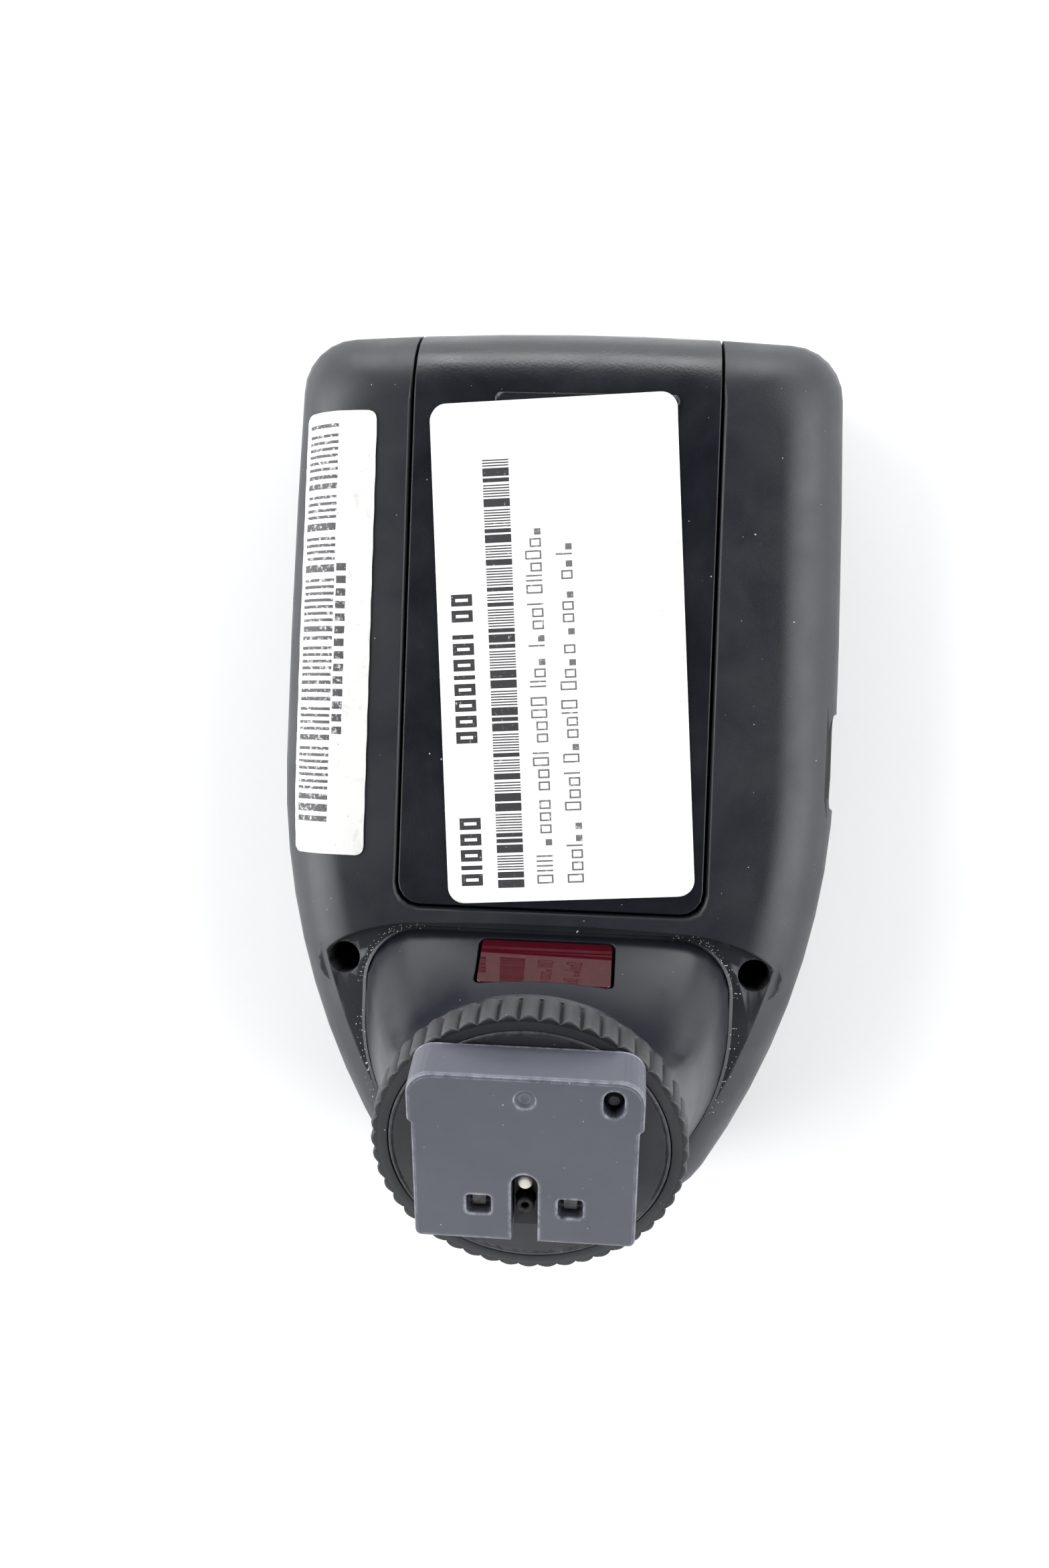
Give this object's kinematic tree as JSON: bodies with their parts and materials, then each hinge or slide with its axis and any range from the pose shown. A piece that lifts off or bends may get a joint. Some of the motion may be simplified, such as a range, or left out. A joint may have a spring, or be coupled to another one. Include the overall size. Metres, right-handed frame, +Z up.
{
  "type": "wireless flash trigger",
  "caption": "Hand-sized radio trigger lying on its display side: tapered black casing with a sliding battery door, a tilted locking ring and a hot-shoe foot with contact pins.",
  "frame": {"origin": "on the resting plane, under the middle of the casing", "axes": "+Z up from the display side to the hot-shoe foot, +Y along the length towards the wide battery end, +X across, towards the port side"},
  "size_m": [0.0579, 0.09, 0.0503],
  "materials": {
    "housing": "fine moulded grain",
    "door": "semi-gloss, finely textured",
    "ring": "satin, turned",
    "foot": "frosted, worn at the edges",
    "label": "printed film",
    "red_lens": "polished, translucent",
    "clear_lens": "polished",
    "display": "smooth",
    "inner": "plain",
    "board": "solder-masked laminate",
    "keys": "matte",
    "control": "satin",
    "steel": "plated",
    "cell": "printed film over metal",
    "cream": "smooth"
  },
  "bodies": {
    "housing": {"rear_housing": "housing", "front_housing": "housing", "shoe_neck": "housing", "ring_hub": "ring", "shoe_foot": "foot", "serial_label": "label", "assist_window": "red_lens", "assist_led": "red_lens", "display_window": "clear_lens", "status_lamp": "clear_lens", "display_module": "display", "battery_bay": "inner", "contact_carrier": "inner", "usb_tongue": "inner", "sync_jack": "inner", "port_bezel": "inner", "dial_encoder": "inner", "power_switch": "inner", "assist_switch": "inner", "keypad_membrane": "inner", "main_board": "board", "antenna": "board", "contact_pad_left": "steel", "contact_pad_right": "steel", "foot_screw_left": "steel", "foot_screw_right": "steel", "case_screw_left": "steel", "case_screw_right": "steel", "battery_spring_left": "steel", "battery_spring_right": "steel", "battery_plate_left": "steel", "battery_plate_right": "steel", "usb_port": "steel", "battery_cell_left": "cell", "battery_cell_right": "cell", "guide_pin": "cream"},
    "ring": {"locking_ring": "ring"},
    "lock_pin": {"lock_pin": "steel"},
    "battery_door": {"battery_door": "door", "asset_label": "label"},
    "power_slider": {"power_slider": "control"},
    "assist_slider": {"assist_slider": "control"},
    "select_dial": {"select_dial": "control"},
    "set_button": {"set_button": "control"},
    "sync_contact": {"sync_contact": "steel"},
    "group_key_1": {"group_key_1": "keys"},
    "group_key_2": {"group_key_2": "keys"},
    "group_key_3": {"group_key_3": "keys"},
    "group_key_4": {"group_key_4": "keys"},
    "group_key_5": {"group_key_5": "keys"},
    "function_key_1": {"function_key_1": "keys"},
    "function_key_2": {"function_key_2": "keys"},
    "function_key_3": {"function_key_3": "keys"},
    "function_key_4": {"function_key_4": "keys"},
    "mode_key": {"mode_key": "keys"},
    "menu_key": {"menu_key": "keys"},
    "zoom_key": {"zoom_key": "keys"},
    "test_button": {"test_button": "keys"}
  },
  "joints": [
    {"name": "ring_turn", "type": "hinge", "parent": "housing", "child": "ring", "pos_m": [0, -0.0321, 0.042], "axis": [0, -0.4147, 0.91], "range_deg": [0, 75]},
    {"name": "lock_pin_slide", "type": "slide", "parent": "housing", "child": "lock_pin", "axis": [0, -0.4147, 0.91], "range_m": [0, 0.0016]},
    {"name": "door_slide", "type": "slide", "parent": "housing", "child": "battery_door", "axis": [0, 1, 0], "range_m": [0, 0.06]},
    {"name": "power_slide", "type": "slide", "parent": "housing", "child": "power_slider", "axis": [0, -1, 0], "range_m": [0, 0.0035]},
    {"name": "assist_slide", "type": "slide", "parent": "housing", "child": "assist_slider", "axis": [0, -1, 0], "range_m": [0, 0.0035]},
    {"name": "dial_turn", "type": "hinge", "parent": "housing", "child": "select_dial", "pos_m": [-0.0075, -0.0205, 0.0029], "axis": [0, 0, 1], "continuous": true},
    {"name": "set_press", "type": "slide", "parent": "housing", "child": "set_button", "axis": [0, 0, 1], "range_m": [0, 0.0004], "stiffness_N_per_m": 1200, "springref_m": -0.0005},
    {"name": "sync_press", "type": "slide", "parent": "housing", "child": "sync_contact", "axis": [0, 0.4147, -0.91], "range_m": [0, 0.0005], "stiffness_N_per_m": 800, "springref_m": -0.0005},
    {"name": "group_1_press", "type": "slide", "parent": "housing", "child": "group_key_1", "axis": [0, 0, 1], "range_m": [0, 0.0004], "stiffness_N_per_m": 1200, "springref_m": -0.0005},
    {"name": "group_2_press", "type": "slide", "parent": "housing", "child": "group_key_2", "axis": [0, 0, 1], "range_m": [0, 0.0004], "stiffness_N_per_m": 1200, "springref_m": -0.0005},
    {"name": "group_3_press", "type": "slide", "parent": "housing", "child": "group_key_3", "axis": [0, 0, 1], "range_m": [0, 0.0004], "stiffness_N_per_m": 1200, "springref_m": -0.0005},
    {"name": "group_4_press", "type": "slide", "parent": "housing", "child": "group_key_4", "axis": [0, 0, 1], "range_m": [0, 0.0004], "stiffness_N_per_m": 1200, "springref_m": -0.0005},
    {"name": "group_5_press", "type": "slide", "parent": "housing", "child": "group_key_5", "axis": [0, 0, 1], "range_m": [0, 0.0004], "stiffness_N_per_m": 1200, "springref_m": -0.0005},
    {"name": "function_1_press", "type": "slide", "parent": "housing", "child": "function_key_1", "axis": [0, 0, 1], "range_m": [0, 0.0004], "stiffness_N_per_m": 1200, "springref_m": -0.0005},
    {"name": "function_2_press", "type": "slide", "parent": "housing", "child": "function_key_2", "axis": [0, 0, 1], "range_m": [0, 0.0004], "stiffness_N_per_m": 1200, "springref_m": -0.0005},
    {"name": "function_3_press", "type": "slide", "parent": "housing", "child": "function_key_3", "axis": [0, 0, 1], "range_m": [0, 0.0004], "stiffness_N_per_m": 1200, "springref_m": -0.0005},
    {"name": "function_4_press", "type": "slide", "parent": "housing", "child": "function_key_4", "axis": [0, 0, 1], "range_m": [0, 0.0004], "stiffness_N_per_m": 1200, "springref_m": -0.0005},
    {"name": "mode_press", "type": "slide", "parent": "housing", "child": "mode_key", "axis": [0, 0, 1], "range_m": [0, 0.0004], "stiffness_N_per_m": 1200, "springref_m": -0.0005},
    {"name": "menu_press", "type": "slide", "parent": "housing", "child": "menu_key", "axis": [0, 0, 1], "range_m": [0, 0.0004], "stiffness_N_per_m": 1200, "springref_m": -0.0005},
    {"name": "zoom_press", "type": "slide", "parent": "housing", "child": "zoom_key", "axis": [0, 0, 1], "range_m": [0, 0.0004], "stiffness_N_per_m": 1200, "springref_m": -0.0005},
    {"name": "test_press", "type": "slide", "parent": "housing", "child": "test_button", "axis": [0, 0, 1], "range_m": [0, 0.0004], "stiffness_N_per_m": 1200, "springref_m": -0.0005}
  ],
  "couplings": [
    {"joint": "ring_turn", "follows": "lock_pin_slide", "rad_per_m": 818}
  ]
}
